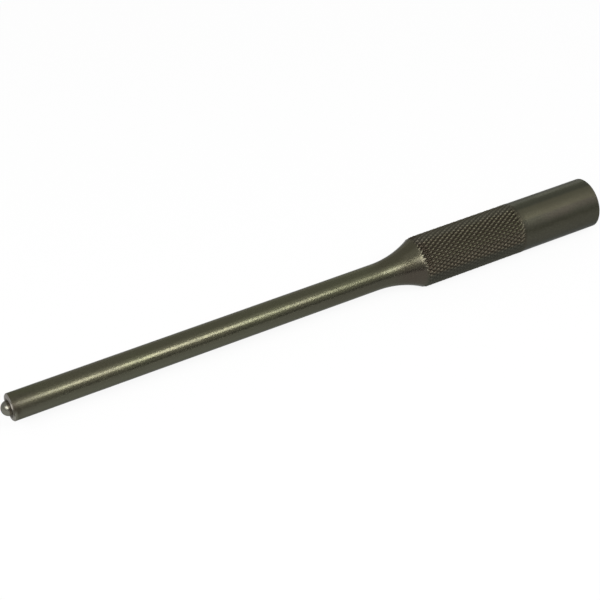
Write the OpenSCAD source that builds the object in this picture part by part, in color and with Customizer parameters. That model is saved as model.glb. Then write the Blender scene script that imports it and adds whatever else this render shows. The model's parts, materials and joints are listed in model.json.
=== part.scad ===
// Pilot punch: a hand punch that drives hollow spring pins out of their holes.
// One bar of tool steel, turned to a slim shank with a domed pilot on its end and
// left at full size behind it, where a band of diamond knurling makes the grip.
// The axis lies along X, with the pilot toward -X and the struck head toward +X.
// The origin is on the axis, at the flat driving face round the pilot's root.

/* [Head] */
// Diameter of the bar, as it shows at the plain head
head_d = 12; // [10:0.1:18]
// Length of the plain head, from the knurl to the striking face
head_len = 21.5; // [10:0.5:40]
// Chamfer round the striking face
head_chamfer = 0.25; // [0.1:0.05:1.5]

/* [Knurled grip] */
// Length of the knurled band, from the neck's edge to the plain head
knurl_len = 26.5; // [12:0.5:40]
// Grooves of each hand round the grip
knurl_teeth = 36; // [24:1:44]
// Angle between the grooves and the axis, in degrees
knurl_angle = 29.5; // [25:0.5:45]
// Depth of the grooves below the crests
knurl_depth = 0.3; // [0.15:0.05:0.4]
// Angle between the two sides of a groove, in degrees
groove_angle = 90; // [80:5:100]
// Rise of the crests above the bar, from metal that the knurling rolls push up
knurl_rise = 0.05; // [0.02:0.01:0.15]
// Length over which the grooves run out behind the knurled band
knurl_runout = 0.8; // [0.4:0.1:2]

/* [Neck] */
// Radius of the hollow sweep that carries the shank up to the grip
neck_radius = 24; // [10:1:60]

/* [Shank] */
// Diameter of the shank, which follows the pin through its hole
shank_d = 6.2; // [4.5:0.1:8]
// Length of the straight shank, from the driving face to the neck
shank_len = 88.6; // [40:0.1:120]
// Chamfer round the driving face
shank_chamfer = 0.3; // [0.1:0.05:0.4]

/* [Pilot] */
// Diameter of the pilot, which centres the punch in the bore of the pin
pilot_d = 3.4; // [2:0.1:3.6]
// Straight stretch of the pilot, from the driving face to its dome
pilot_straight = 0.25; // [0.1:0.05:3]
// Height of the dome, up to half a ball
pilot_dome = 1.5; // [0.5:0.05:1.8]

/* [Hidden] */
$fn = 96;

// Radii
head_r = head_d / 2;
crest_r = head_r + knurl_rise;
root_r = crest_r - knurl_depth;
shank_r = shank_d / 2;
pilot_r = pilot_d / 2;

// The dome: a cap of a ball that is as wide as the pilot
dome_height = min(pilot_dome, pilot_r);
dome_r = (pilot_r ^ 2 + dome_height ^ 2) / (2 * dome_height);

// Length of the neck's arc along the axis, at the place where it has grown to a given radius
function neck_reach(r) = sqrt(neck_radius ^ 2 - (neck_radius - (r - shank_r)) ^ 2);

// Places along the axis
grip_x = shank_len + neck_reach(crest_r);
head_x = grip_x + knurl_len;
face_x = head_x + head_len;

// The knurl's lattice: two rows of diamonds to each step of a groove along the axis
points_round = 2 * knurl_teeth;
tooth_pitch = 2 * PI * crest_r / knurl_teeth;
row_pitch = tooth_pitch / tan(knurl_angle) / 2;
// Where four grooves would meet in a point, if the bar's own surface did not cut it short
peak_r = root_r + tooth_pitch * cos(knurl_angle) / 2 / tan(groove_angle / 2);
// The rows go on past the grip's edge until the neck has dropped below the grooves
rows = ceil((head_x - shank_len - neck_reach(root_r)) / row_pitch) + 1;
// The rolls stand clear of the bar all round
roll_gap = 1;
roll_r = max(crest_r, peak_r) + roll_gap;

// Half of the bar's outline, with the radius across and the axis upward
module outline() {
    // Pilot, with its dome
    translate([0, -pilot_straight])
        square([pilot_r, pilot_straight]);
    translate([0, -pilot_straight])
        intersection() {
            translate([0, dome_r - dome_height])
                circle(r = dome_r);
            translate([0, -dome_height])
                square([dome_r, dome_height]);
        }
    // Shank
    polygon([
        [0, 0], [shank_r - shank_chamfer, 0], [shank_r, shank_chamfer],
        [shank_r, shank_len], [0, shank_len]
    ]);
    // Neck
    difference() {
        translate([0, shank_len])
            square([crest_r, grip_x - shank_len]);
        translate([shank_r + neck_radius, shank_len])
            circle(r = neck_radius, $fn = 360);
    }
    // Grip, before it is knurled
    translate([0, grip_x])
        square([crest_r, knurl_len]);
    // Head
    polygon([
        [0, head_x], [head_r, head_x], [head_r, face_x - head_chamfer],
        [head_r - head_chamfer, face_x], [0, face_x]
    ]);
}

// A ring of points round the axis, whose radius changes at every other point
function ring(x, even_r, odd_r) = [
    for (k = [0 : points_round - 1])
        let (r = k % 2 == 0 ? even_r : odd_r, a = 360 * k / points_round)
            [r * cos(a), r * sin(a), x]
];

// The knurling rolls' reach: everything outside a sleeve of diamond pits.
// Peaks and roots alternate along each ring and from each ring to the next,
// and every four-cornered cell folds along the line between its two roots.
module knurl_grooves() {
    inner = [
        for (j = [0 : rows])
            let (x = head_x - j * row_pitch)
                j % 2 == 0 ? ring(x, peak_r, root_r) : ring(x, root_r, peak_r)
    ];
    back = ring(head_x + knurl_runout, roll_r, roll_r);
    front = ring(head_x - (rows + 1) * row_pitch, roll_r, roll_r);
    rings = concat([back], inner, [front]);
    count = len(rings);
    function at(j, k) = (j % count) * points_round + k % points_round;
    function cell(j, k) = (j + k) % 2 == 0
        ? [[at(j, k), at(j + 1, k + 1), at(j, k + 1)], [at(j, k), at(j + 1, k), at(j + 1, k + 1)]]
        : [[at(j, k), at(j + 1, k), at(j, k + 1)], [at(j, k + 1), at(j + 1, k), at(j + 1, k + 1)]];
    polyhedron(
        points = [for (r = rings) each r],
        faces = [for (j = [0 : count - 1], k = [0 : points_round - 1]) each cell(j, k)]
    );
}

module punch() {
    color("#46443a")
        rotate([0, 90, 0])
            difference() {
                rotate_extrude()
                    outline();
                knurl_grooves();
            }
}

punch();
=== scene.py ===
# %% [markdown]
# # A pilot punch
# A pilot punch drives hollow spring pins out of their holes. It is one bar of tool steel: a domed
# pilot finds the pin's bore, a slim shank follows the pin, and a knurled grip ends in a plain head
# that takes the hammer. The CAD model comes first, as a fixed frame, and everything made here lies
# on it in metres. What Blender adds is what a designer leaves out of the solid: soft edges, the
# rounded diamonds of a rolled knurl, and the look of blackened, oiled steel.

# %% Load the CAD model
import json
import math

import bpy
import numpy as np
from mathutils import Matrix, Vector


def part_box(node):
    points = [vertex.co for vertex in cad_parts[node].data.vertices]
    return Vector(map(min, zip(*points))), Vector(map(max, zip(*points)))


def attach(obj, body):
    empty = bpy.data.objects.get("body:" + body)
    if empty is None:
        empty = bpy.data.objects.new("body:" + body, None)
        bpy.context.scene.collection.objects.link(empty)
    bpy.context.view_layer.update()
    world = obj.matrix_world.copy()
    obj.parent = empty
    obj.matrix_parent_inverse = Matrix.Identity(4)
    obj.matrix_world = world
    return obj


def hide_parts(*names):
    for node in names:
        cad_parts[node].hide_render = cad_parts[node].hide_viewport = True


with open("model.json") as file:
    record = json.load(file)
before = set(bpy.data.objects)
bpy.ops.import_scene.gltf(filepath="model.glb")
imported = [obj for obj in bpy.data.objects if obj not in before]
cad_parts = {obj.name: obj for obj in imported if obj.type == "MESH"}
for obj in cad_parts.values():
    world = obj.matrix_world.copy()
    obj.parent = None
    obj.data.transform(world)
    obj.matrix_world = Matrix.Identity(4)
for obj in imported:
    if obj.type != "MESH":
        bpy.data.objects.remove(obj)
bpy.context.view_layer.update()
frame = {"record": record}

# %% [markdown]
# ## The sizes
# A piece that is drawn twice has to agree with itself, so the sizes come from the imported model
# wherever it states them. Its mounts hold the radii and lengths of the pilot and the shank, and its
# box gives the tip and the crests of the knurl. The few that are left have the values that the
# designer chose.

# %% Read the sizes
MM = 0.001

mounts = {mount["name"]: mount for mount in frame["record"]["mounts"]}


def mount_radius(name):
    return mounts[name]["dims"]["r_mm"] * MM


def mount_length(name):
    return mounts[name]["dims"]["length_mm"] * MM


pilot_r = mount_radius("pilot")
shank_r = mount_radius("shank")
head_r = 6 * MM
box_low, box_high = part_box("punch")
crest_r = box_high[2]
tip_x = box_low[0]
shank_chamfer = mounts["shank"]["pos_m"][0]
shank_end_x = shank_chamfer + mount_length("shank")
striking_x = mounts["striking_face"]["pos_m"][0]
head_chamfer = 0.25 * MM
head_len = 21.5 * MM
head_x = striking_x - head_len
neck_radius = 24 * MM
neck_centre_r = shank_r + neck_radius
print(f"bar {2 * head_r / MM:.2f} mm, shank {2 * shank_r / MM:.2f} mm, pilot {2 * pilot_r / MM:.2f} mm")

# %% [markdown]
# ## The camera
# The photograph was taken with a long lens from the pilot's side, looking down at about forty
# degrees. A lens can be found by eye, by moving the camera until the picture fits, but the outline
# of a turned bar fixes it far better: its width shrinks with distance, and its two ends fall on
# known places. These values are the ones at which the bar's outline lands on the photographed one.

# %% Set up the camera
view_azimuth = -28.78
view_elevation = 40.38
view_distance = 352.69 * MM
view_aim = Vector((69.78 * MM, 1.1 * MM, 0.09 * MM))
lens_mm = 94.07
sensor_mm = 36


def toward(azimuth, elevation):
    """The direction from the object to a place at that azimuth and elevation, in degrees."""
    a, e = math.radians(azimuth), math.radians(elevation)
    return Vector((math.sin(a) * math.cos(e), -math.cos(a) * math.cos(e), math.sin(e)))


def place(thing, azimuth, elevation, distance, aim=view_aim):
    """Puts a camera or a lamp at that distance from the aim and turns it to face the aim."""
    back = toward(azimuth, elevation)
    thing.location = aim + back * distance
    thing.rotation_euler = back.to_track_quat("Z", "Y").to_euler()
    bpy.context.scene.collection.objects.link(thing)


camera_data = bpy.data.cameras.new("camera")
camera_data.lens = lens_mm
camera_data.sensor_width = sensor_mm
camera = bpy.data.objects.new("camera", camera_data)
place(camera, view_azimuth, view_elevation, view_distance)
bpy.context.scene.camera = camera
print("camera at", [round(c / MM, 1) for c in camera.location], "mm")

# %% [markdown]
# ## Writing shaders as sums
# Node trees grow hard to read when every addition is a node that has to be made and linked by
# hand. One small class wraps a socket, so that plain arithmetic on it adds the Math nodes, and one
# method of a sheet adds any other node: its settings first, then what its sockets hold.

# %% Wrap a socket
class Signal:
    """An output socket that takes part in arithmetic."""

    def __init__(self, sheet, socket):
        self.sheet = sheet
        self.socket = socket

    def math(self, operation, first, second):
        return self.sheet.add("ShaderNodeMath", {"operation": operation}, {0: first, 1: second})

    def __add__(self, other):
        return self.math("ADD", self, other)

    def __sub__(self, other):
        return self.math("SUBTRACT", self, other)

    def __rsub__(self, other):
        return self.math("SUBTRACT", other, self)

    def __mul__(self, other):
        return self.math("MULTIPLY", self, other)

    def __truediv__(self, other):
        return self.math("DIVIDE", self, other)

    def __rtruediv__(self, other):
        return self.math("DIVIDE", other, self)

    __radd__ = __add__
    __rmul__ = __mul__


print("arithmetic on sockets: + - * /")

# %% Open a sheet of nodes
# The Mix node has sockets for numbers, vectors and colours under the same names, so those for
# colours are found by their numbers.
MIX_FACTOR, MIX_FIRST, MIX_SECOND, MIX_RESULT = 0, 6, 7, 2


class Sheet:
    """A node tree that is being written."""

    def __init__(self, tree):
        self.tree = tree
        self.tree.nodes.clear()

    def add(self, kind, settings=None, sockets=None, output=0):
        """Adds a node, sets it up, fills its sockets and returns one of its outputs."""
        node = self.tree.nodes.new(kind)
        for name, value in (settings or {}).items():
            setattr(node, name, value)
        for name, value in (sockets or {}).items():
            if isinstance(value, Signal):
                self.tree.links.new(value.socket, node.inputs[name])
            else:
                node.inputs[name].default_value = value
        return Signal(self, node.outputs[output]) if node.outputs else None

    def fade(self, value, start, end):
        """Rises smoothly from 0 at start to 1 at end."""
        settings = {"interpolation_type": "SMOOTHSTEP"}
        return self.add("ShaderNodeMapRange", settings, {"Value": value, "From Min": start, "From Max": end})

    def noise(self, vector, size, detail):
        """Cloudy noise from 0 to 1, whose lumps are about size across."""
        return self.add("ShaderNodeTexNoise", {}, {"Vector": vector, "Scale": 1 / size, "Detail": detail})

    def blend(self, factor, first, second):
        """Mixes two colours."""
        settings = {"data_type": "RGBA", "blend_type": "MIX", "clamp_factor": True}
        sockets = {MIX_FACTOR: factor, MIX_FIRST: first, MIX_SECOND: second}
        return self.add("ShaderNodeMix", settings, sockets, output=MIX_RESULT)


def tone(red, green, blue):
    """A colour without transparency."""
    return (red, green, blue, 1)


def grey(value):
    return tone(value, value, value)


print("sheets add nodes, fades, noise and blends")

# %% [markdown]
# ## The studio
# The tool lies on a white table in a white tent, among five soft boxes. The one in front draws the
# long streak on the shank, and the one toward the tip puts the spot on the pilot's dome. A dim one
# higher up fills in above the streak, and two low ones behind trace the far edge of the bar. The
# table could be lit until it is white, but then the steel would be overlit too. Instead, part of
# the table's white is given to rays that come from the eye or from a reflection alone, so that the
# lamps stay at a plain level and the table still takes a shadow.

# %% Lay the table
table_size = 4.0
table_white = 0.95
own_light = 0.9


def seen_directly(sheet):
    """1 on rays from the camera and on reflected or refracted ones, else 0."""
    camera_ray, glossy_ray, clear_ray = [
        sheet.add("ShaderNodeLightPath", output=name)
        for name in ("Is Camera Ray", "Is Glossy Ray", "Is Transmission Ray")]
    seen_rays = camera_ray + glossy_ray + clear_ray
    return sheet.add("ShaderNodeMath", {"operation": "MINIMUM"}, {0: seen_rays, 1: 1.0})


def flat_board(name, corners, paint):
    """A flat piece of the studio, drawn round its corners."""
    mesh = bpy.data.meshes.new(name)
    mesh.from_pydata(corners, [], [range(len(corners))])
    mesh.materials.append(paint)
    board = bpy.data.objects.new(name, mesh)
    bpy.context.scene.collection.objects.link(board)
    return board


table_paint = bpy.data.materials.new("table_white")
table_paint.use_nodes = True
sheet = Sheet(table_paint.node_tree)
matt = sheet.add("ShaderNodeBsdfDiffuse", {}, {"Color": grey(table_white)})
glow = sheet.add("ShaderNodeEmission", {}, {"Color": grey(1.0), "Strength": 1.0})
surface = sheet.add("ShaderNodeMixShader", {}, {0: seen_directly(sheet) * own_light, 1: matt, 2: glow})
sheet.add("ShaderNodeOutputMaterial", {}, {"Surface": surface})

half = table_size / 2
table_z = -crest_r
table_corners = [(-half, -half, table_z), (half, -half, table_z),
                 (half, half, table_z), (-half, half, table_z)]
table = flat_board("table", table_corners, table_paint)
print("table top at", round(table_z / MM, 2), "mm")

# %% Hang the tent
tent_seen = 0.7
tent_fill = 0.34

world = bpy.data.worlds.new("tent")
world.use_nodes = True
bpy.context.scene.world = world
sheet = Sheet(world.node_tree)
fill = sheet.add("ShaderNodeBackground", {}, {"Color": grey(tent_fill), "Strength": 1.0})
seen = sheet.add("ShaderNodeBackground", {}, {"Color": grey(tent_seen), "Strength": 1.0})
backdrop = sheet.add("ShaderNodeMixShader", {}, {0: seen_directly(sheet), 1: fill, 2: seen})
sheet.add("ShaderNodeOutputWorld", {}, {"Surface": backdrop})
print("tent:", tent_seen, "to the eye,", tent_fill, "as fill light")

# %% Set up the soft boxes
def soft_box(name, azimuth, elevation, distance, width, height, brightness, aim=view_aim):
    """A rectangular lamp, as bright to look at as the given number of times white."""
    lamp = bpy.data.lights.new(name, "AREA")
    lamp.shape = "RECTANGLE"
    lamp.size = width
    lamp.size_y = height
    lamp.energy = brightness * math.pi * width * height
    place(bpy.data.objects.new(name, lamp), azimuth, elevation, distance, aim)
    print(f"{name}: {lamp.energy:.2f} W")


def on_axis(x):
    """A point on the bar's axis, or on its line beyond the head."""
    return Vector((x, 0, 0))


soft_box("front_soft_box", azimuth=0, elevation=52.5, distance=0.69,
         width=0.31, height=0.22, brightness=9, aim=on_axis(0.205))
soft_box("upper_soft_box", azimuth=0, elevation=77, distance=0.7,
         width=0.5, height=0.27, brightness=0.48, aim=on_axis(0.3))
soft_box("tip_side_soft_box", azimuth=-54, elevation=43.5, distance=0.7,
         width=0.54, height=0.34, brightness=5.7)
soft_box("back_soft_box", azimuth=180, elevation=10, distance=0.65,
         width=0.3, height=0.16, brightness=0.5, aim=on_axis(0.26))
soft_box("head_soft_box", azimuth=180, elevation=14, distance=0.66,
         width=0.36, height=0.24, brightness=1.7, aim=on_axis(0.59))

# %% [markdown]
# A photographer draws the form of a round bar with a dark line beside the bright one. A dark card
# stands low on the table in front of the tool, and the steel shows it as a soft band under the
# streak. A dark lamp can't be made, so the card is a real sheet that blocks the bright tent. It is
# hidden from the camera itself, and only its reflection shows.

# %% Stand the dark card
card_y = -0.45
card_top = 0.085
card_half_width = 0.6
card_grey = 0.35

card_paint = bpy.data.materials.new("card_dark")
card_paint.use_nodes = True
sheet = Sheet(card_paint.node_tree)
matt = sheet.add("ShaderNodeBsdfDiffuse", {}, {"Color": grey(card_grey)})
sheet.add("ShaderNodeOutputMaterial", {}, {"Surface": matt})

card_corners = [(-card_half_width, card_y, table_z), (card_half_width, card_y, table_z),
                (card_half_width, card_y, card_top), (-card_half_width, card_y, card_top)]
card = flat_board("dark_card", card_corners, card_paint)
card.visible_camera = False
print("card", round((card_top - table_z) / MM), "mm high")

# %% [markdown]
# ## The turned outline
# A lathe makes the bar by following one outline, and so does this step: a list of stations along
# the axis, each with its radius. Corners on a real tool are never quite sharp, and it is the small
# rounding that catches the light, so each corner is swapped for a short arc. A bevel modifier could
# do that on the finished mesh, but it would also chew up the knurl, so the rounding is done on the
# outline, where it is plain geometry.

# %% Draw arcs and rounded corners
corner_steps = 4


def arc(centre_x, centre_r, radius, start, end, steps):
    """Points on a circle in the outline's plane, with the angle in degrees from the +X direction."""
    angles = np.radians(np.linspace(start, end, steps + 1))
    return [(centre_x + radius * math.cos(a), centre_r + radius * math.sin(a)) for a in angles]


def rounded(before, corner, after, radius):
    """The short arc that takes the place of a corner between two straight stretches."""
    corner, before, after = Vector(corner), Vector(before), Vector(after)
    back, on = (before - corner).normalized(), (after - corner).normalized()
    half_angle = back.angle(on) / 2
    setback = radius / math.tan(half_angle)
    centre = corner + (back + on).normalized() * radius / math.sin(half_angle)
    first = corner + back * setback - centre
    last = corner + on * setback - centre
    sweep = math.atan2(first.x * last.y - first.y * last.x, first.dot(last))
    turn = [sweep * step / corner_steps for step in range(corner_steps + 1)]
    return [(centre.x + first.x * math.cos(t) - first.y * math.sin(t),
             centre.y + first.x * math.sin(t) + first.y * math.cos(t)) for t in turn]


print("each rounded corner has", corner_steps, "steps")

# %% Draw the outline from the pilot to the shank
edge_round = 0.07 * MM
root_fillet = 0.12 * MM
dome_steps = 20
tip_angle = 180
station_gap = 4 * MM

dome_start_x = -mount_length("pilot")
dome_height = dome_start_x - tip_x
dome_r = (pilot_r ** 2 + dome_height ** 2) / (2 * dome_height)
dome_x = tip_x + dome_r
dome_edge_angle = math.degrees(math.acos((dome_start_x - dome_x) / dome_r))
face_corner = (0, shank_r - shank_chamfer)
shank_corner = (shank_chamfer, shank_r)
outline = arc(dome_x, 0, dome_r, tip_angle, dome_edge_angle, dome_steps)
outline += rounded((dome_start_x, pilot_r), (0, pilot_r), face_corner, root_fillet)
outline += rounded((0, pilot_r), face_corner, shank_corner, edge_round)
outline += rounded(face_corner, shank_corner, (shank_end_x, shank_r), edge_round)
shank_stations = int(shank_end_x / station_gap)
outline += [(x, shank_r) for x in np.linspace(shank_corner[0], shank_end_x, shank_stations + 2)[1:]]
print(len(outline), "stations from the pilot's tip to the end of the shank")

# %% [markdown]
# ## The knurl
# A knurl is rolled, not cut: two hardened wheels press grooves of opposite hands into the turning
# bar, and the metal between the grooves rises into diamonds. A normal map would look right from
# afar and go flat at the edge of the picture, so the diamonds are real. Seen along the bar, a point
# is as high as its distance from the nearest groove allows, up to the crest. The neck was turned
# after the knurl, so it simply cuts through the diamonds, which leaves the ragged rim where the
# grip begins.

# %% Choose the sizes of the knurl
knurl_teeth = 36
knurl_angle = 29.5
groove_half_angle = 45
knurl_depth = 0.3 * MM
cross_depth = 0.24 * MM
crest_round = 0.12 * MM
root_round = 0.03 * MM

tooth_pitch = 2 * math.pi * crest_r / knurl_teeth
row_pitch = tooth_pitch / math.tan(math.radians(knurl_angle)) / 2
groove_pitch = tooth_pitch * math.cos(math.radians(knurl_angle))
root_r = crest_r - knurl_depth
print(f"{knurl_teeth} grooves of each hand, {groove_pitch / MM:.2f} mm apart")

# %% Follow the lathe along the neck
swell_length = 1.0 * MM


def neck_reach(r):
    """How far past the end of the shank the neck has swept out to a radius."""
    return math.sqrt(neck_radius ** 2 - (neck_centre_r - r) ** 2)


neck_length = neck_reach(crest_r)
grip_x = shank_end_x + neck_length


def turned_radius(x):
    """The radius that the lathe left at x, from the end of the shank to the head."""
    neck = neck_centre_r - np.sqrt(neck_radius ** 2 - np.minimum(x - shank_end_x, neck_length) ** 2)
    fall = np.clip((x - head_x) / swell_length, 0, 1)
    return np.minimum(neck, crest_r) - (crest_r - head_r) * fall


print(f"neck {neck_length / MM:.2f} mm long, grip from {grip_x / MM:.2f} mm")

# %% [markdown]
# The wheels don't meet the bar evenly. They bite deepest where they are first pressed in, at the
# neck's end, and more on one side than on the other, so the rim wanders a little round the grip.
# At the far end they are drawn back, and the grooves of one hand run out before those of the other.
# Both are added to the height of the surface, so that they need no mesh of their own.

# %% Press in the first bite
first_bite = 0.18 * MM
bite_length = 1.3 * MM
bite_wander = 0.5
wander_waves = (7, 11)
wander_phase = 0.6
spared_side = math.radians(195)
deeper_side = math.radians(115)
deeper_bite = 0.8
lobe_power = 4


def lobe(angle, side):
    """1 on one side of the bar, and nothing on the half that faces away."""
    return np.maximum(np.cos(angle - side), 0) ** lobe_power


def bite_depth(x, angle):
    """How much deeper the wheels go at the start of the grip than further on."""
    slow, fast = wander_waves
    wander = 1 + bite_wander * np.sin(slow * angle + wander_phase) * np.cos(fast * angle)
    uneven = wander * (1 - lobe(angle, spared_side)) + deeper_bite * lobe(angle, deeper_side)
    return first_bite * uneven * np.clip((grip_x + bite_length - x) / bite_length, 0, 1)


deepest_bite = first_bite * (1 + bite_wander + deeper_bite)
print(f"first bite up to {deepest_bite / MM:.2f} mm deeper")

# %% Roll the grooves
runout_length = 0.75 * MM
runout_slope = 0.45
cross_lead = 0.7 * MM
half_tooth = 0.5


def soft_min(a, b, rounding):
    """The smaller of two heights, with the edge between them rounded off by a parabola."""
    gap = np.maximum(rounding - np.abs(a - b), 0) / rounding
    return np.minimum(a, b) - gap ** 2 * rounding / 4


def groove_wall(phase, depth):
    """The radius of the two walls of a groove, which lies where the phase is a whole number."""
    from_groove = np.abs(phase - np.round(phase)) * groove_pitch
    rise = np.hypot(from_groove, root_round) - root_round
    return crest_r - depth + rise / math.tan(math.radians(groove_half_angle))


def knurl_radius(x, angle):
    """The radius of the rolled surface, before the neck and the head cut it short."""
    across = angle * knurl_teeth / (2 * math.pi) + half_tooth
    along = (x - head_x) / (2 * row_pitch)
    past_end = x - head_x + runout_length
    deep = groove_wall(across + along, knurl_depth) + runout_slope * np.maximum(past_end, 0)
    cross = groove_wall(across - along, cross_depth) + runout_slope * np.maximum(past_end + cross_lead, 0)
    rolled = np.minimum(deep, cross) - bite_depth(x, angle)
    return soft_min(rolled, np.full_like(deep, crest_r), crest_round)


print(f"grooves run out over {(runout_length + cross_lead) / MM:.2f} mm")

# %% [markdown]
# ## One skin for the whole bar
# The bar is one solid, so it gets one closed mesh: a ring of points at every station, joined to the
# next. A screw or an array modifier would turn the plain parts but not the diamonds. On the grip
# the rings lie close together and in step with the knurl, and each cell is cut into two triangles
# along the groove that crosses it, so that the grooves run clean and don't show a saw edge.

# %% Lay out the stations
points_per_half_tooth = 6
columns = 2 * knurl_teeth * points_per_half_tooth
fine_step = row_pitch / points_per_half_tooth
knurl_start_x = shank_end_x + neck_reach(root_r - deepest_bite)
knurl_end_x = head_x + swell_length

rows_ahead = math.ceil((head_x - knurl_start_x) / fine_step)
rows_behind = math.ceil((knurl_end_x - head_x) / fine_step) + 1
grip_rows = head_x + fine_step * np.arange(-rows_ahead, rows_behind + 1)

neck_steps = 24
neck_rows = np.linspace(shank_end_x, grip_rows[0], neck_steps + 1)[1:-1]
before_grip = outline + [(x, float(turned_radius(x))) for x in neck_rows]

face_rings = (0.75, 0.5, 0.25)
head_corner = (striking_x - head_chamfer, head_r)
rim_corner = (striking_x, head_r - head_chamfer)
head_rows = np.linspace(grip_rows[-1], head_corner[0] - edge_round, int(head_len / station_gap) + 2)
after_grip = [(x, head_r) for x in head_rows[1:]]
after_grip += rounded((grip_rows[-1], head_r), head_corner, rim_corner, edge_round)
after_grip += rounded(head_corner, rim_corner, (striking_x, 0), edge_round)
after_grip += [(striking_x, head_r * share) for share in face_rings]
print(len(before_grip), "stations before the grip,", len(grip_rows), "on it,", len(after_grip), "behind it")

# %% Turn the stations into rings
angles = 2 * math.pi * np.arange(columns) / columns
grid_x, grid_angle = np.meshgrid(grip_rows, angles, indexing="ij")
grip_r = np.minimum(turned_radius(grid_x), knurl_radius(grid_x, grid_angle))


def plain_rings(stations):
    """Where each ring of a run lies, and the radius at every point of it."""
    x, r = np.array(stations).T
    return x, np.repeat(r[:, None], columns, axis=1)


front_x, front_r = plain_rings(before_grip[1:])
rear_x, rear_r = plain_rings(after_grip)
ring_x = np.concatenate([front_x, grip_rows, rear_x])
ring_r = np.concatenate([front_r, grip_r, rear_r])
points = np.stack([np.repeat(ring_x[:, None], columns, axis=1),
                   ring_r * np.cos(angles), ring_r * np.sin(angles)], axis=-1).reshape(-1, 3)
tip_point = len(points)
face_point = tip_point + 1
points = np.concatenate([points, [(tip_x, 0, 0), (striking_x, 0, 0)]])
print(len(ring_x), "rings of", columns, "points")

# %% Join the rings
faces = []
first_fine, last_fine = len(front_x), len(front_x) + len(grip_rows) - 1
for i in range(len(ring_x) - 1):
    ring, after = i * columns, (i + 1) * columns
    cell_row = math.floor((ring_x[i] + ring_x[i + 1] - 2 * head_x) / (2 * row_pitch))
    for k in range(columns):
        n = (k + 1) % columns
        here, beside, beyond, across = ring + k, ring + n, after + k, after + n
        if not first_fine <= i < last_fine:
            faces.append((here, beside, across, beyond))
        elif (cell_row + k // points_per_half_tooth) % 2:
            faces += [(here, beside, across), (here, across, beyond)]
        else:
            faces += [(here, beside, beyond), (beside, across, beyond)]
last_ring = (len(ring_x) - 1) * columns
for k in range(columns):
    n = (k + 1) % columns
    faces.append((tip_point, n, k))
    faces.append((face_point, last_ring + k, last_ring + n))
print(len(faces), "faces, with a fan over each end")

# %% Make the bar
bar_mesh = bpy.data.meshes.new("punch_bar")
bar_mesh.from_pydata(points.tolist(), [], faces)
bar_mesh.polygons.foreach_set("use_smooth", [True] * len(bar_mesh.polygons))
bar_mesh.validate()
bar = bpy.data.objects.new("punch_bar", bar_mesh)
bpy.context.scene.collection.objects.link(bar)
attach(bar, "root")
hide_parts("punch")
print(len(bar_mesh.vertices), "points,", len(bar_mesh.polygons), "faces")

# %% [markdown]
# ## Blackened steel
# Black oxide is a thin skin grown on the steel in a hot bath and sealed with oil. It hides the
# colour of the metal but not its shine, so it is a dark metal here, olive where the oil is thin and
# browner where it gathers. Painting that as one colour looks like plastic. The real skin is cloudy,
# it is grainy where light falls along it, and it has worn a little on the crests and edges. So its
# tones are laid one over another by place: how far along the bar a point is, how far from the axis,
# and which way round it faces.

# %% Find a place on the bar
steel = bpy.data.materials.new("black_oxide_steel")
steel.use_nodes = True
sheet = Sheet(steel.node_tree)
across_only = (0, 1, 1)
place_on_bar = sheet.add("ShaderNodeTexCoord", output="Object")
x_along = sheet.add("ShaderNodeSeparateXYZ", {}, {0: place_on_bar}, output="X")
off_axis = sheet.add("ShaderNodeVectorMath", {"operation": "MULTIPLY"}, {0: place_on_bar, 1: across_only})
radius = sheet.add("ShaderNodeVectorMath", {"operation": "LENGTH"}, {0: off_axis}, output="Value")


def past(x, start, end):
    """0 up to the first place along the bar and 1 from the second, in millimetres from x."""
    return sheet.fade(x_along, x + start * MM, x + end * MM)


def between(x, rise, fall):
    """1 on a stretch of the bar, which comes in over one pair of places and goes out over another."""
    return past(x, *rise) * (1 - past(x, *fall))


def band(value, rise, fall):
    """1 on a range of any value, which comes in over one pair of limits and goes out over another."""
    return sheet.fade(value, *rise) * (1 - sheet.fade(value, *fall))


def offset_toward(y, z):
    """How far a point lies from the axis in the direction (y, z)."""
    direction = (0, y, z)
    return sheet.add("ShaderNodeVectorMath", {"operation": "DOT_PRODUCT"},
                     {0: off_axis, 1: direction}, output="Value")


def tint(under, over, where, share=None):
    """Lays one tone over another where a mask says so, in full or no more thickly than its share."""
    factor = where if share is None else share * where
    return sheet.blend(factor, under, over)


def count_nodes(step):
    print(f"{step}: {len(sheet.tree.nodes)} nodes so far")


count_nodes("place on the bar")

# %% Name the sides of the bar
belly_side = offset_toward(y=-0.858, z=-0.514) / radius
under_side = offset_toward(y=-0.988, z=-0.153) / radius
front_side = offset_toward(y=-0.99, z=0.12) / radius
upper_side = offset_toward(y=-0.66, z=0.75) / radius
count_nodes("sides, from the belly up to the upper front")

# %% Find the zones of the bar
near_tip = 1 - past(0, start=0, end=11)
on_pilot = 1 - past(0, start=-0.1, end=0)
on_head = past(head_x, start=-0.8, end=0)
on_grip = past(grip_x, start=-1.1, end=0) * (1 - on_head)
on_side = 1 - past(striking_x, start=-0.3, end=-0.1)
count_nodes("zones: tip, pilot, grip, head and struck face")

# %% [markdown]
# ## The clouds of the oxide
# The bath works a little faster in some places than in others, so the skin drifts between two near
# tones. They could be painted on an unwrapped image, but noise about a centimetre across does the
# same with no seam. Underneath, the skin is painted cooler, and lighter toward the working end, as a
# painted reflection of the white table. The head is a shade darker. Its belly is painted cooler as a
# reflection of the table, and tan patches lie along the line where its highlight falls, so they are
# partly a painted highlight.

# %% Cloud the shank
olive = tone(0.079, 0.079, 0.046)
brown = tone(0.079, 0.075, 0.047)
underside_reflection_grey = tone(0.078, 0.079, 0.054)
tip_underside_reflection = tone(0.092, 0.090, 0.066)
cloud_size = 12 * MM

clouds = sheet.noise(place_on_bar, cloud_size, detail=3)
colour = sheet.blend(sheet.fade(clouds, start=0.35, end=0.65), olive, brown)
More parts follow.
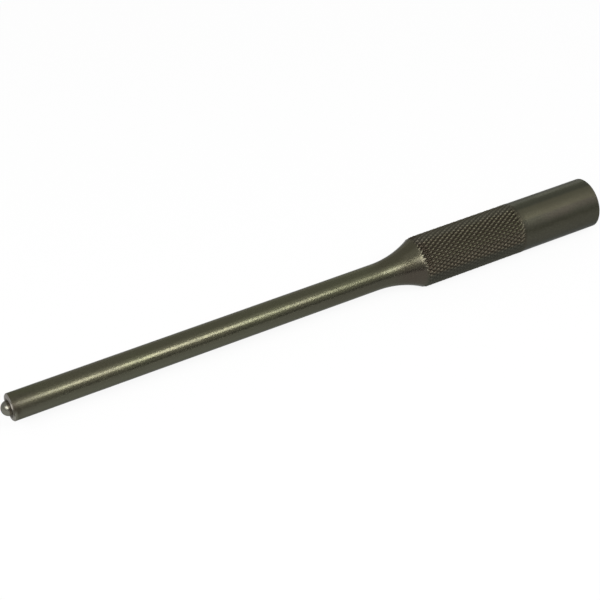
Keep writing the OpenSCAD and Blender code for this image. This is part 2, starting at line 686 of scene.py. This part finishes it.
# Painted reflection: the underside is tinted cooler, and lighter near the tip, for the white table seen in
# the steel.
underneath = sheet.fade(under_side, start=0.75, end=0.98)
colour = tint(colour, underside_reflection_grey, where=underneath)
colour = tint(colour, tip_underside_reflection, where=near_tip * underneath)
count_nodes("shank")

# %% Tint the head
slate = tone(0.058, 0.059, 0.041)
head_belly_reflection = tone(0.057, 0.0595, 0.048)
tan_patch_in_highlight = tone(0.075, 0.067, 0.051)

head_wall = on_head * on_side
patches = sheet.fade(clouds, start=0.3, end=0.6)
colour = tint(colour, slate, where=on_head)
# Painted reflection: the head's belly is tinted cooler, for the table seen in it.
colour = tint(colour, head_belly_reflection, where=head_wall * sheet.fade(belly_side, start=0.55, end=0.85))
# Partly painted highlight: a patchy tan tone, laid only along the narrow line where the head's highlight
# falls.
colour = tint(colour, tan_patch_in_highlight, where=head_wall * sheet.fade(upper_side, start=0.92, end=1.0) * patches)
count_nodes("head")

# %% [markdown]
# ## The front and the neck
# Oil gathers in hollows and dries there as a brown film, and on this tool it browns the sweep of the
# neck. Shade is also painted in: a dark band under the streak along the front, a deeper shade toward
# the head, a plum shade on the front of the neck's end, and darker tones that dim the streak on the
# neck and on the lip before the knurl, which is darkest. The upper flank before the grip is painted
# lighter. Each is a tone of its own with soft ends, because a hard mask would look like a painted
# ring.

# %% Darken the front and the neck
painted_shade_tone = tone(0.054, 0.051, 0.035)
neck_brown_and_shade = tone(0.066, 0.061, 0.037)
plum_shade = tone(0.058, 0.048, 0.0365)
front_shade_share = 0.85
front_shade_less_on_head = 0.2

shade_band_side = offset_toward(y=-0.953, z=0.302) / radius
# Painted shade: a dark band along the front, under the streak.
colour = tint(colour, painted_shade_tone, share=0.3, where=on_side * sheet.fade(shade_band_side, start=0.94, end=0.99))
on_neck = past(shank_end_x, start=-3, end=2) * (1 - past(grip_x, start=-0.5, end=0.5))
off_front = 1 - sheet.fade(front_side, start=0.3, end=0.8)
colour = tint(colour, neck_brown_and_shade, share=0.8, where=on_neck * off_front)
# Painted shade: the front grows darker toward the head, a little less on the head itself.
shaded = on_side * past(0, start=45, end=92) * sheet.fade(front_side, start=0.88, end=0.98)
colour = tint(colour, painted_shade_tone, share=front_shade_share - front_shade_less_on_head * on_head, where=shaded)
neck_end = past(shank_end_x, start=2, end=7) * (1 - sheet.fade(x_along, start=grip_x, end=head_x))
bare_neck_end = neck_end * (1 - on_grip)
# Painted shade and reflection: a dark plum tone on the front of the neck's end.
colour = tint(colour, plum_shade, share=0.85, where=bare_neck_end * sheet.fade(front_side, start=0.6, end=0.9))
count_nodes("front and neck")

# %% Darken the lip and lighten the flank
tip_brown = tone(0.062, 0.057, 0.039)
lip_shade = tone(0.044, 0.040, 0.026)
painted_flank_light = tone(0.098, 0.092, 0.060)

# Darker on the upper side near the tip, along the line of the streak.
colour = tint(colour, tip_brown, share=0.9, where=near_tip * sheet.fade(upper_side, start=0.75, end=0.95))
# Painted shade: the neck's brown is laid again along the streak on the neck's end, to dim the highlight
# there.
neck_streak = bare_neck_end * sheet.fade(upper_side, start=0.9, end=0.98)
colour = tint(colour, neck_brown_and_shade, share=0.5, where=neck_streak)
# Painted shade: the streak on the lip before the knurl is darkened.
lip = between(grip_x, rise=(-3.4, -2.0), fall=(-1.7, -1.2)) * sheet.fade(upper_side, start=0.93, end=0.985)
colour = tint(colour, lip_shade, share=0.75, where=lip)
# Painted light: the upper flank of the neck before the grip is lightened.
flank_side = offset_toward(y=-0.407, z=0.914) / radius
flank = past(grip_x, start=-6, end=-4) * (1 - on_grip) * sheet.fade(flank_side, start=0.95, end=0.99)
colour = tint(colour, painted_flank_light, share=0.8, where=flank)
count_nodes("lip and flank")

# %% [markdown]
# ## The worn end
# Every pin that is driven rubs the first millimetres of the shank. The skin there is stained in
# blotches on the upper front and rubbed pale below, and fine pale flecks lie all over the bar. Wear
# could be found from the curve of the mesh, but this wear is a matter of use, so it goes by place.

# %% Stain the worn end
edge_stain = tone(0.046, 0.039, 0.027)
edge_pale = tone(0.145, 0.141, 0.110)
speck = tone(0.16, 0.155, 0.12)
stain_size = 1.6 * MM
stain_least = 0.4
fleck_size = 0.36 * MM

worn_edge = 1 - past(0, start=0.6, end=2.4)
stains = sheet.fade(sheet.noise(place_on_bar, stain_size, detail=2), start=0.4, end=0.6)
stain_share = stain_least + (1 - stain_least) * stains
stain_side = offset_toward(y=-0.866, z=0.5) / radius
worn_front = worn_edge * sheet.fade(stain_side, start=0.72, end=0.94)
colour = tint(colour, edge_stain, share=stain_share, where=worn_front)
worn_below = (1 - past(0, start=0.5, end=1.1)) * sheet.fade(under_side, start=0.8, end=0.97)
colour = tint(colour, edge_pale, where=worn_below)
flecks = sheet.fade(sheet.noise(place_on_bar, fleck_size, detail=1), start=0.4, end=0.6)
colour = tint(colour, speck, share=0.06, where=sheet.fade(flecks, start=0, end=1))
count_nodes("worn end")

# %% [markdown]
# ## The skin of the knurl
# A hand wears the skin off the crests, and oil and dust stay in the grooves. There is a node that
# finds pointed edges, but what it gives depends on how fine the mesh is. Here a point's depth below
# the turned bar says which of the two it is, right up to the rim, where the neck's sweep ends in
# bright teeth, worn on their crests and with a painted glint on their upper side.

# %% Measure the depth in the grooves
neck_run = x_along - shank_end_x
neck_drop = sheet.add("ShaderNodeMath", {"operation": "SQRT"}, {0: neck_radius ** 2 - neck_run * neck_run})
turned = sheet.add("ShaderNodeMath", {"operation": "MINIMUM"}, {0: neck_centre_r - neck_drop, 1: crest_r})
on_knurl = past(knurl_start_x, start=-0.3, end=0) * (1 - on_head)
groove = on_knurl * (turned - radius) / knurl_depth
crest = on_grip * (1 - sheet.fade(groove, start=0, end=0.4))
count_nodes("grooves and crests")

# %% Wear the crests
crest_wear = tone(0.108, 0.098, 0.070)
rubbed_and_glinting_teeth = tone(0.21, 0.195, 0.145)
tooth_patch_size = 0.8 * MM
crest_least = 0.1
front_kept = 0.7

patchy = sheet.fade(sheet.noise(place_on_bar, tooth_patch_size, detail=1), start=0.4, end=0.6)
crest_share = crest_least + (1 - crest_least) * patchy
# Less wear on the grip's front, which keeps the front darker: partly painted shade.
less_in_front = 1 - front_kept * sheet.fade(front_side, start=0.6, end=0.95)
colour = tint(colour, crest_wear, share=crest_share, where=crest * less_in_front)
first_teeth = between(grip_x, rise=(-0.7, 0), fall=(0.4, 1.2))
colour = tint(colour, rubbed_and_glinting_teeth, share=0.5, where=first_teeth * crest)
# Painted highlight: a glint on the upper side of the rim, where the streak meets the first teeth.
glint = between(grip_x, rise=(-1.4, -0.9), fall=(0.1, 0.4)) * sheet.fade(upper_side, start=0.8, end=0.97)
colour = tint(colour, rubbed_and_glinting_teeth, share=0.25, where=glint)
count_nodes("worn crests")

# %% Oil the grooves, and paint shade, sheen and reflection on the grip
groove_oil_and_shade = tone(0.044, 0.036, 0.025)
painted_top_sheen = tone(0.098, 0.097, 0.076)
grip_underside_reflection = tone(0.046, 0.047, 0.037)

colour = tint(colour, groove_oil_and_shade, where=sheet.fade(groove, start=0.1, end=0.7))
# Darker where the grooves run out at the head.
colour = tint(colour, groove_oil_and_shade, share=0.45, where=between(head_x, rise=(-1.3, -0.5), fall=(0, 0.4)))
top_side = offset_toward(y=0.216, z=0.976) / radius
# Painted sheen: a lighter grey film on the grip's top, for the bright tent seen there at a grazing angle.
colour = tint(colour, painted_top_sheen, share=0.36, where=on_grip * sheet.fade(top_side, start=0.94, end=1.0))
# Painted shade: the grip's front is darkened, like the band under the streak.
colour = tint(colour, groove_oil_and_shade, share=0.25, where=on_grip * sheet.fade(front_side, start=0.8, end=0.97))
# Painted reflection and shade: a flat, darker, cool tone on the grip's underside.
colour = tint(colour, grip_underside_reflection, share=0.75, where=on_grip * sheet.fade(belly_side, start=0.79, end=0.91))
count_nodes("oiled grooves")

# %% [markdown]
# ## The pilot and the driving face
# These meet the pin, so most of their skin is gone. The face is bright grey steel, painted lit toward
# the top, shaded across the middle and lighter again at the bottom. A painted highlight lies on one
# side of its edge, painted shade on the lower chamfer, and a painted shadow in the corner round the
# pilot's root. The face could be a material of its own, with a sharp border. As a zone of the same
# skin it fades into the chamfer.

# %% Bare the pilot
nose_bright = tone(0.165, 0.160, 0.131)
root_shadow = tone(0.060, 0.049, 0.033)

colour = tint(colour, nose_bright, where=on_pilot)
# Painted shadow: the pilot's root, next to the driving face, is darkened.
colour = tint(colour, root_shadow, where=on_pilot * past(0, start=-0.62, end=-0.15))
count_nodes("pilot")

# %% Bare the driving face
face_grey = tone(0.30, 0.282, 0.255)
face_shade = tone(0.14, 0.134, 0.115)
face_low_light = tone(0.25, 0.24, 0.208)

face_top = offset_toward(y=0.598, z=0.802) / shank_r
driving_face = between(0, rise=(-0.02, 0), fall=(0.3, 0.36))
# Painted light and shade: the face is lit grey toward the top, shaded across the middle and lighter again at
# the bottom.
face_tone = sheet.blend(sheet.fade(face_top, start=-0.2, end=0.1), face_shade, face_grey)
face_tone = sheet.blend(sheet.fade(face_top, start=-0.65, end=-0.35), face_low_light, face_tone)
colour = tint(colour, face_tone, where=driving_face)
count_nodes("driving face")

# %% Paint a highlight on its edge, shade on its chamfer and a shadow in its corner
chamfer_shade = tone(0.085, 0.078, 0.060)
rim_highlight = tone(0.48, 0.44, 0.385)
chamfer_start = (2.8 * MM, 2.88 * MM)
edge_start = (2.76 * MM, 2.86 * MM)
edge_end = (2.96 * MM, 3.06 * MM)
shadow_end = (1.95 * MM, 2.3 * MM)
shadow_spread = 0.5 * MM
top_kept = 0.85

# Painted shade: the chamfer is darkened on its lower side, less toward the top.
less_at_top = 1 - top_kept * sheet.fade(face_top, start=0.35, end=0.6)
shaded_part = sheet.fade(face_top, start=-0.7, end=-0.4) * less_at_top
colour = tint(colour, chamfer_shade, where=driving_face * sheet.fade(radius, *chamfer_start) * shaded_part)
# Painted highlight: a bright line on one side of the face's edge.
driving_rim = driving_face * band(radius, edge_start, edge_end)
colour = tint(colour, rim_highlight, where=driving_rim * band(face_top, rise=(-0.15, 0.05), fall=(0.2, 0.5)))
# Painted shadow: a dark ring round the pilot's root on the face, reaching furthest across the middle.
shadow_reach = shadow_spread * band(face_top, rise=(-0.8, -0.45), fall=(0.15, 0.55))
shadow_ring = driving_face * (1 - sheet.fade(radius - shadow_reach, *shadow_end))
colour = tint(colour, root_shadow, where=shadow_ring)
count_nodes("edge and corner")

# %% [markdown]
# ## The struck face
# The far end was faced on the lathe, which leaves fine rings round its middle. They could be cut
# into the mesh, but it would need a ring of points for each. Noise that is read by the radius alone
# gives such rings, and the same noise raises them in the bump below.

# %% Turn the rings
ring_grey = tone(0.105, 0.102, 0.076)
ring_size = 0.45 * MM

out_from_middle = sheet.add("ShaderNodeCombineXYZ", {}, {"X": radius})
rings = sheet.noise(out_from_middle, ring_size, detail=3)
on_struck_face = 1 - on_side
colour = tint(colour, ring_grey, share=0.5, where=on_struck_face * sheet.fade(rings, start=0.35, end=0.65))
count_nodes("struck face")

# %% [markdown]
# ## Grain and oil
# Where the streak falls on the bar it breaks up into sparkle, because the oxide grows as fine
# crystals over the marks of the grinding wheel. That is too small for the mesh, so a bump of a few
# hundredths of a millimetre gives it. The roughness changes from zone to zone and drifts along the
# bar, and a thin coat stands for the oil, which is thickest on the shank.

# %% Grain the surface
grain_size = 0.32 * MM
grain_share = 0.88
grind_size = 0.28 * MM
grind_share = 0.12
grind_stretch = 0.15
face_grain = 0.4
ring_height = 0.9
bump_height = 0.036 * MM

grain = sheet.noise(place_on_bar, grain_size, detail=2)
stretched = sheet.add("ShaderNodeVectorMath", {"operation": "MULTIPLY"},
                      {0: place_on_bar, 1: (1, grind_stretch, grind_stretch)})
grind = sheet.noise(stretched, grind_size, detail=2)
skin_height = (grain * grain_share + grind * grind_share) * (face_grain + (1 - face_grain) * on_side)
height = skin_height + rings * ring_height * on_struck_face
bump = sheet.add("ShaderNodeBump", {}, {"Strength": 1.0, "Distance": bump_height, "Height": height})
count_nodes("grain")

# %% Set the roughness
shank_rough = 0.23
fleck_rough = 0.08
tip_rough = 0.12
head_rough = 0.14
grip_rough = 0.2
edge_rough = 0.06
pilot_polish = 0.15
drift_rough = 0.08
drift_size = 7 * MM
drift_middle = 0.5

roughness = shank_rough + fleck_rough * flecks * (1 - on_head) + tip_rough * near_tip
roughness = roughness + head_rough * on_head + grip_rough * on_grip - pilot_polish * on_pilot
drift = sheet.fade(sheet.noise(place_on_bar, drift_size, detail=2), start=0.35, end=0.65)
off_pilot = 1 - on_pilot
roughness = roughness + (edge_rough * worn_edge + drift_rough * (drift - drift_middle)) * off_pilot
count_nodes("roughness")

# %% Oil the steel
oil_weight = 0.2
oil_lost = 0.1
oil_roughness = 0.2
edge_tint = 0.45

oil_film = oil_weight - oil_lost * (on_grip + on_head + near_tip)
shader = sheet.add("ShaderNodeBsdfPrincipled", {}, {
    "Base Color": colour, "Metallic": 1.0, "Roughness": roughness, "Normal": bump,
    "Specular Tint": grey(edge_tint), "Coat Weight": oil_film, "Coat Roughness": oil_roughness,
})
sheet.add("ShaderNodeOutputMaterial", {}, {"Surface": shader})
bar_mesh.materials.append(steel)
count_nodes("finish " + steel.name)

# %% [markdown]
# ## Finish
# The picture settings stay plain.

# %% Finish
bpy.context.scene.view_settings.view_transform = "Standard"
